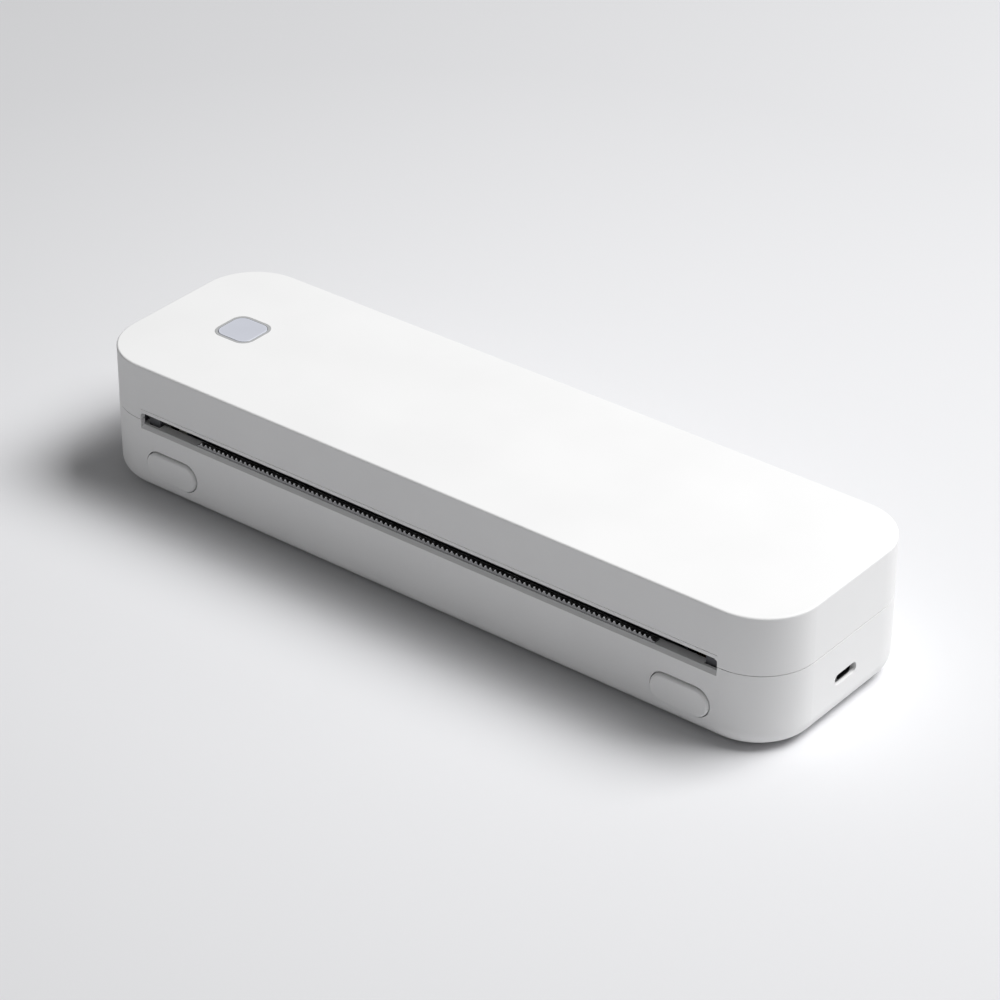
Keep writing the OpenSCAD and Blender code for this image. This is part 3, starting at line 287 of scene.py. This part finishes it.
table = bmesh.new()
bmesh.ops.create_grid(table, x_segments=1, y_segments=1, size=TABLE_HALF)
table_mesh = bpy.data.meshes.new("table")
table.to_mesh(table_mesh)
table.free()
table_top = bpy.data.objects.new("table", table_mesh)
scene.collection.objects.link(table_top)
table_top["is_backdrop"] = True

paper = Finish("paper_sweep", TABLE_COLOUR, TABLE_ROUGHNESS, ior_level=TABLE_LEVEL)
reach = paper.node("ShaderNodeVectorMath")
reach.operation = "DISTANCE"
reach.inputs[1].default_value = TABLE_MIDDLE
paper.link(paper.place, reach.inputs[0])
away = paper.ranged(reach.outputs["Value"], 0, 1, *TABLE_FADE)
paper.paint(paper.mixed(away, TABLE_COLOUR, shaded(TABLE_COLOUR, TABLE_FAR)))
table_mesh.materials.append(paper.material)
print("the table is", 2 * TABLE_HALF, "m wide")

# %% [markdown]
# ## Moulded plastic
#
# The case is matt white plastic from a mould whose steel was etched, so the skin
# has a fine even grain. Three things make it look real: that grain as a bump of
# a few thousandths of a millimetre, a roughness that wanders a little from place
# to place, and edges that hands have polished. The etched skin also mirrors less
# than a smooth one, so the specular level is set below the usual half.

# %% Moulded plastics
PLASTIC_LEVEL = 0.3
PLASTIC_CLOUDS = 22
PLASTIC_EDGE = 0.0005
ETCHED_GRAIN = 2600


def moulded(name, colour, roughness, grain=ETCHED_GRAIN, depth=0.000012, wear=1.04):
    """Etched plastic: a fine grain, faint clouds and edges paler by wear."""
    finish = Finish(name, colour, roughness, ior_level=PLASTIC_LEVEL)
    fine = finish.noise(grain, detail=2)
    broad = finish.noise(PLASTIC_CLOUDS, detail=2)
    tone = finish.tone(broad, 0.985, 1.01)
    finish.paint(finish.mixed(finish.edge(PLASTIC_EDGE), tone, shaded(colour, wear)))
    finish.gloss(finish.ranged(broad, roughness - 0.04, roughness + 0.05))
    finish.bump((fine, depth))
    return finish.material


WHITE = (0.885, 0.885, 0.885)
case_white = moulded("case_white", WHITE, 0.56)
button_white = moulded("button_white", WHITE, 0.5, depth=0.000006)
frame_grey = moulded("frame_grey", (0.11, 0.11, 0.12), 0.55, depth=0.00002, wear=1.5)
black_plastic = moulded("black_plastic", (0.03, 0.03, 0.03), 0.45, wear=1.6)
connector_ivory = moulded("connector", (0.75, 0.72, 0.62), 0.5)
slider_grey = moulded("slider_grey", (0.6, 0.6, 0.6), 0.4)
gear_nylon = moulded("gear_nylon", (0.82, 0.80, 0.74), 0.38, grain=900, depth=0.000008)
print("seven plastics made, with a specular level of", PLASTIC_LEVEL)

# %% [markdown]
# ## The power button
#
# The button is a clear-skinned cap over a pale blue-grey body, set in a satin
# ring that is a shade darker. A thin coat on the shader gives the cap the calm
# shine of a touch surface without making it a mirror. Clear plastic gathers
# light at its rim, so the cap grows a little paler towards its edge.

# %% Power button
RIM_WIDTH = 0.0016
COAT_ROUGHNESS = 0.25
TOUCH_CLOUDS = 60
TOUCH_GRAIN = 3000
TOUCH_DEPTH = 0.000003


def touch_surface(name, colour, roughness, coat, rim=1.0):
    """A coated skin whose colour grows paler by rim towards its edge."""
    finish = Finish(name, colour, roughness)
    finish.shader.inputs["Coat Weight"].default_value = coat
    finish.shader.inputs["Coat Roughness"].default_value = COAT_ROUGHNESS
    soft = finish.noise(TOUCH_CLOUDS, detail=2)
    tone = finish.tone(soft, 0.98, 1.02)
    finish.paint(finish.mixed(finish.edge(RIM_WIDTH), tone, shaded(colour, rim)))
    finish.gloss(finish.ranged(soft, roughness - 0.03, roughness + 0.04))
    finish.bump((finish.noise(TOUCH_GRAIN, detail=1), TOUCH_DEPTH))
    return finish.material


cap_blue_grey = touch_surface("cap_blue_grey", (0.63, 0.65, 0.72), 0.35, 0.4, rim=1.12)
ring_grey = touch_surface("ring_grey", (0.47, 0.475, 0.48), 0.4, 0.1)
print("cap and ring made, with a rim of", 1000 * RIM_WIDTH, "mm")

# %% [markdown]
# ## Rubber
#
# The platen is ground to size between wheels, which leaves fine lines round it;
# the feet are pressed and slightly dusty. Rubber has a low, wide highlight, so
# the roughness is high and the grain coarse.

# %% Rubbers
RUBBER_ROUGHNESS = (0.68, 0.86)
RUBBER_LEVEL = 0.35
RUBBER_CLOUDS = 35
RUBBER_DEPTH = 0.00002


def rubber(name, colour, grain, stretch=None, dust=1.6):
    """Dull rubber with ground lines or a coarse grain, paler by dust in patches."""
    finish = Finish(name, colour, RUBBER_ROUGHNESS[0], ior_level=RUBBER_LEVEL)
    lines = finish.noise(grain, detail=3, stretch=stretch)
    broad = finish.noise(RUBBER_CLOUDS, detail=3)
    finish.paint(finish.tone(broad, 1, dust, start=0.4, end=0.75))
    finish.gloss(finish.ranged(lines, *RUBBER_ROUGHNESS))
    finish.bump((lines, RUBBER_DEPTH))
    return finish.material


foot_rubber = rubber("foot_rubber", (0.09, 0.09, 0.09), 1500)
platen_rubber = rubber("platen_rubber", (0.035, 0.035, 0.035), 60, stretch=(60, 1, 1), dust=1.3)
print("two rubbers made, with a roughness of", *RUBBER_ROUGHNESS)

# %% [markdown]
# ## Metals
#
# Sheet steel is rolled, bars are drawn and brass is turned. Each leaves its own
# lines, so one helper stretches a noise along the direction of the work. Metal
# takes its brightness from what it mirrors: its colour is that of the reflection.

# %% Metals
METAL_LINES = 55
METAL_CLOUDS = 30
METAL_EDGE = 0.0003
METAL_WEAR = 1.15
METAL_SPREAD = 0.08
METAL_DEPTH = 0.000006
ALONG_X = (1, 40, 40)


def worked_metal(name, colour, roughness, stretch, depth=METAL_DEPTH):
    """Metal with drawn-out lines along the direction that stretch leaves short."""
    finish = Finish(name, colour, roughness, metallic=1.0)
    lines = finish.noise(METAL_LINES, detail=4, stretch=stretch)
    tone = finish.tone(finish.noise(METAL_CLOUDS, detail=2), 0.93, 1.03)
    finish.paint(finish.mixed(finish.edge(METAL_EDGE), tone, shaded(colour, METAL_WEAR)))
    finish.gloss(finish.ranged(lines, roughness - METAL_SPREAD, roughness + METAL_SPREAD))
    finish.bump((lines, depth))
    return finish.material


steel = worked_metal("steel", (0.62, 0.62, 0.62), 0.32, (40, 40, 6))
chassis_steel = worked_metal("chassis_steel", (0.55, 0.57, 0.60), 0.36, (3, 30, 30))
# The inlet's shell is painted almost black: a painted shade for the dark inside of the charging
# opening.
inlet_shell = worked_metal("inlet_shell", (0.10, 0.10, 0.105), 0.32, ALONG_X)
module_can = worked_metal("module_can", (0.66, 0.66, 0.66), 0.35, (20, 20, 20))
heat_sink = worked_metal("heat_sink", (0.72, 0.72, 0.73), 0.34, ALONG_X, depth=0.00001)
brass = worked_metal("brass", (0.72, 0.53, 0.22), 0.28, (60, 8, 8))
motor_case = worked_metal("motor_case", (0.25, 0.27, 0.30), 0.42, (30, 4, 4))
print("seven metals made, with lines at", METAL_LINES, "to the metre before they are stretched")

# %% [markdown]
# ## The tear bar
#
# The bar is steel, and the height on the bar tells its two colours apart. Below,
# it is painted dark: a painted shade for the dark inside of the printer that it
# mirrors. In the last fraction of a millimetre it goes over to a painted
# highlight of bright steel at the points of the teeth. So the teeth read as a
# row of small light dots over the black slot, as they do in the photograph.

# %% Tear bar
TIP_HIGHLIGHT_HEIGHT = 0.0006
TIP_HIGHLIGHT_BLEND = 0.0003
# The dark colour is a painted shade, and the bright colour at the points is a painted
# highlight.
BLADE_PAINTED_SHADE = (0.27, 0.27, 0.275)
TIP_PAINTED_HIGHLIGHT = (0.78, 0.78, 0.78)
BLADE_ROUGHNESS = (0.34, 0.5)

blade = Finish("blade_steel", BLADE_PAINTED_SHADE, BLADE_ROUGHNESS[0], metallic=1.0)
tip_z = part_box("tear_bar")[1].z
split = blade.tree.nodes.new("ShaderNodeSeparateXYZ")
blade.link(blade.place, split.inputs["Vector"])
# The height picks the painted highlight at the points over the painted shade below them.
highlight_from = tip_z - TIP_HIGHLIGHT_HEIGHT
tip_highlight = blade.ranged(split.outputs["Z"], 0, 1, highlight_from, highlight_from + TIP_HIGHLIGHT_BLEND)
ground = blade.noise(METAL_LINES, detail=4, stretch=ALONG_X)
blade.paint(blade.mixed(tip_highlight, BLADE_PAINTED_SHADE, TIP_PAINTED_HIGHLIGHT))
blade.gloss(blade.ranged(ground, *BLADE_ROUGHNESS))
blade.bump((ground, METAL_DEPTH))
blade_steel = blade.material
print("the points are bright from", round(1000 * highlight_from, 2), "mm up")

# %% [markdown]
# ## The battery, the board, the leads and the film
#
# These show when the lid is open or through the gaps round the roll bay. The
# wrap of the battery shrinks over its cells and wrinkles; the board's green
# mask lets its copper show as paler lines; the film carries rows of traces. A
# wave texture draws such rows: its bands repeat 20 / tau times in each unit of
# its scale, so the scale is the wanted number of lines over that.

# %% Battery wrap, board, leads and film
WRAP_WRINKLES = 120
WRAP_ROUGHNESS = 0.3
WAVE_BANDS = 20 / math.tau
LINE_DEPTH = 0.00002
FILM_CLOUDS = 80


def glossy(name, colour, depth=0.00006):
    """Shrunk or drawn plastic whose waves shade and dull it a little."""
    finish = Finish(name, colour, WRAP_ROUGHNESS)
    waves = finish.noise(WRAP_WRINKLES, detail=2)
    finish.paint(finish.tone(waves, 0.9, 1.15))
    finish.gloss(finish.ranged(waves, WRAP_ROUGHNESS - 0.06, WRAP_ROUGHNESS + 0.08))
    finish.bump((waves, depth))
    return finish.material


def striped(name, colour, line_colour, lines_per_metre, along, roughness):
    """Film or board with parallel copper lines under its skin."""
    finish = Finish(name, colour, roughness)
    wave = finish.node("ShaderNodeTexWave", Scale=lines_per_metre / WAVE_BANDS, Distortion=0)
    wave.bands_direction = along
    finish.link(finish.place, wave.inputs["Vector"])
    lines = finish.ranged(wave.outputs["Fac"], 0, 1, 0.5, 0.65)
    finish.paint(finish.mixed(lines, colour, line_colour))
    finish.gloss(finish.ranged(finish.noise(FILM_CLOUDS), roughness - 0.05, roughness + 0.08))
    finish.bump((lines, LINE_DEPTH))
    return finish.material


battery_wrap = glossy("battery_wrap", (0.05, 0.16, 0.42))
lead_red = glossy("lead_red", (0.45, 0.03, 0.03), depth=0.00001)
lead_grey = glossy("lead_grey", (0.08, 0.08, 0.09), depth=0.00001)
circuit_board = striped("circuit_board", (0.02, 0.16, 0.08), (0.04, 0.24, 0.12), 456, "Y", 0.3)
flex = striped("flex", (0.42, 0.20, 0.06), (0.62, 0.34, 0.12), 1013, "X", 0.35)
print("battery, leads, board and film finished")

# %% [markdown]
# ## The heater line
#
# Along the middle of the ceramic strip runs the part that prints: a raised line
# of glaze with a row of tiny heaters under it and gold leads on both sides. The
# line is brown and glassy, the ceramic around it white and matt, so both colour
# and gloss follow the place across the strip.

# %% Ceramic strip
GLAZE_BROWN = (0.16, 0.085, 0.05)
CERAMIC_WHITE = (0.80, 0.79, 0.76)
LEAD_GOLD = (0.62, 0.50, 0.26)
GLAZE_HALF = 0.0005
LEAD_HALF = 0.0016
GLAZE_HEIGHT = 0.00008
CERAMIC_ROUGHNESS = 0.4
GLAZE_ROUGHNESS = 0.12
CERAMIC_GRAIN = 400
CERAMIC_DEPTH = 0.000003
HEATER_Y = 0.5 * (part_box("platen_rubber")[0].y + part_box("platen_rubber")[1].y)

strip = Finish("ceramic", CERAMIC_WHITE, CERAMIC_ROUGHNESS)
parts = strip.tree.nodes.new("ShaderNodeSeparateXYZ")
strip.link(strip.place, parts.inputs["Vector"])
off_line = strip.tree.nodes.new("ShaderNodeMath")
off_line.operation = "SUBTRACT"
off_line.inputs[1].default_value = HEATER_Y
strip.link(parts.outputs["Y"], off_line.inputs[0])
across = strip.tree.nodes.new("ShaderNodeMath")
across.operation = "ABSOLUTE"
strip.link(off_line.outputs[0], across.inputs[0])
on_glaze = strip.ranged(across.outputs[0], 1, 0, GLAZE_HALF * 0.9, GLAZE_HALF)
on_leads = strip.ranged(across.outputs[0], 1, 0, LEAD_HALF * 0.95, LEAD_HALF)
body = strip.mixed(on_leads, CERAMIC_WHITE, LEAD_GOLD)
strip.paint(strip.mixed(on_glaze, body, GLAZE_BROWN))
strip.gloss(strip.ranged(on_glaze, CERAMIC_ROUGHNESS, GLAZE_ROUGHNESS, 0, 1))
strip.bump((on_glaze, GLAZE_HEIGHT), (strip.noise(CERAMIC_GRAIN), CERAMIC_DEPTH))
ceramic = strip.material
print("the heater line lies at y =", round(1000 * HEATER_Y, 2), "mm")

# %% [markdown]
# ## Finishes onto the solids
#
# Every solid arrives with one plain material, named after its slot in the
# record. A table from slot to finish is enough to dress them all.

# %% Dress the solids
FINISHES = {
    "case_white": case_white, "button_white": button_white, "frame_grey": frame_grey,
    "black_plastic": black_plastic, "connector": connector_ivory, "slider_grey": slider_grey,
    "gear_nylon": gear_nylon, "cap_blue_grey": cap_blue_grey, "ring_grey": ring_grey,
    "foot_rubber": foot_rubber, "platen_rubber": platen_rubber, "steel": steel,
    "blade_steel": blade_steel, "chassis_steel": chassis_steel, "inlet_shell": inlet_shell,
    "module_can": module_can, "heat_sink": heat_sink, "brass": brass, "motor_case": motor_case,
    "battery_wrap": battery_wrap, "lead_red": lead_red, "lead_grey": lead_grey,
    "ceramic": ceramic, "circuit_board": circuit_board, "flex": flex,
}
slot_of = {part["node"]: part["material_slot"] for part in frame["record"]["subparts"]}
for name, solid in frame["nodes"].items():
    for place in solid.material_slots:
        place.material = FINISHES[slot_of[name]]
print(len(slot_of), "solids dressed in", len(set(slot_of.values())), "finishes")

# %% [markdown]
# ## Springs of round wire
#
# The solids hold the springs as coils of a six-sided wire, which is enough to
# collide with. Real ones are drawn from round wire. A spin of a small circle
# that climbs a little at each step makes a round coil, and a flat cap closes
# each end. Every coil replaces its solid and rides on the base. The head
# presses on four of them, each release button on one.

# %% Springs
COIL_STEPS = 36
WIRE_SIDES = 12


def wind(coils, middle_d, wire_d, height, turns, place):
    """Adds one coil to a mesh; place carries it from the origin, where it climbs along Z."""
    steps = COIL_STEPS * turns
    tilt = Matrix.Rotation(math.radians(90), 4, "X")
    start = Matrix.Translation((middle_d / 2, 0, wire_d / 2)) @ tilt
    ring = bmesh.ops.create_circle(coils, cap_ends=False, segments=WIRE_SIDES,
                                   radius=wire_d / 2, matrix=start)["verts"]
    edges = list({edge for corner in ring for edge in corner.link_edges})
    known = set(coils.verts) - set(ring)
    bmesh.ops.spin(coils, geom=ring + edges, cent=(0, 0, 0), axis=(0, 0, 1),
                   angle=math.tau * turns, dvec=(0, 0, (height - wire_d) / steps), steps=steps)
    fresh = [corner for corner in coils.verts if corner not in known]
    bmesh.ops.transform(coils, matrix=place, verts=fresh)


def finish_coils(name, coils, node, body):
    """Closes the coils and puts them in place of their solid."""
    rims = [edge for edge in coils.edges if edge.is_boundary]
    bmesh.ops.holes_fill(coils, edges=rims, sides=WIRE_SIDES)
    bmesh.ops.recalc_face_normals(coils, faces=coils.faces[:])
    for face in coils.faces:
        face.smooth = len(face.verts) == 4
    mesh = bpy.data.meshes.new(name)
    coils.to_mesh(mesh)
    coils.free()
    mesh.materials.append(steel)
    piece = bpy.data.objects.new(name, mesh)
    scene.collection.objects.link(piece)
    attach(piece, body)
    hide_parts(node)
    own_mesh(piece)
    print(name, "has", len(mesh.polygons), "faces")


HEAD_COIL = {"middle_d": 0.0044, "wire_d": 0.0006, "turns": 3}
LATCH_COIL = {"middle_d": 0.0041, "wire_d": 0.0005, "turns": 4}
HEAD_SPRING_X = (-0.09, -0.03, 0.03, 0.09)

low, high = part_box("head_springs")
head_coils = bmesh.new()
for x in HEAD_SPRING_X:
    foot = Matrix.Translation((x, HEATER_Y, low.z))
    wind(head_coils, height=high.z - low.z, place=foot, **HEAD_COIL)
finish_coils("head_coils", head_coils, "head_springs", "base")

lying = Matrix.Rotation(math.radians(-90), 4, "X")
for side in ("left", "right"):
    low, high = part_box(side + "_latch_spring")
    middle = 0.5 * (low + high)
    latch_coil = bmesh.new()
    foot = Matrix.Translation((middle.x, low.y, middle.z)) @ lying
    wind(latch_coil, height=high.y - low.y, place=foot, **LATCH_COIL)
    finish_coils(side + "_latch_coil", latch_coil, side + "_latch_spring", "base")

# %% [markdown]
# ## Sizes, and the end
#
# The dressed printer has to stay inside the box of its solids, so the box of
# the dressed printer is measured.

# %% Measure the dressed printer's box
low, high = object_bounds()
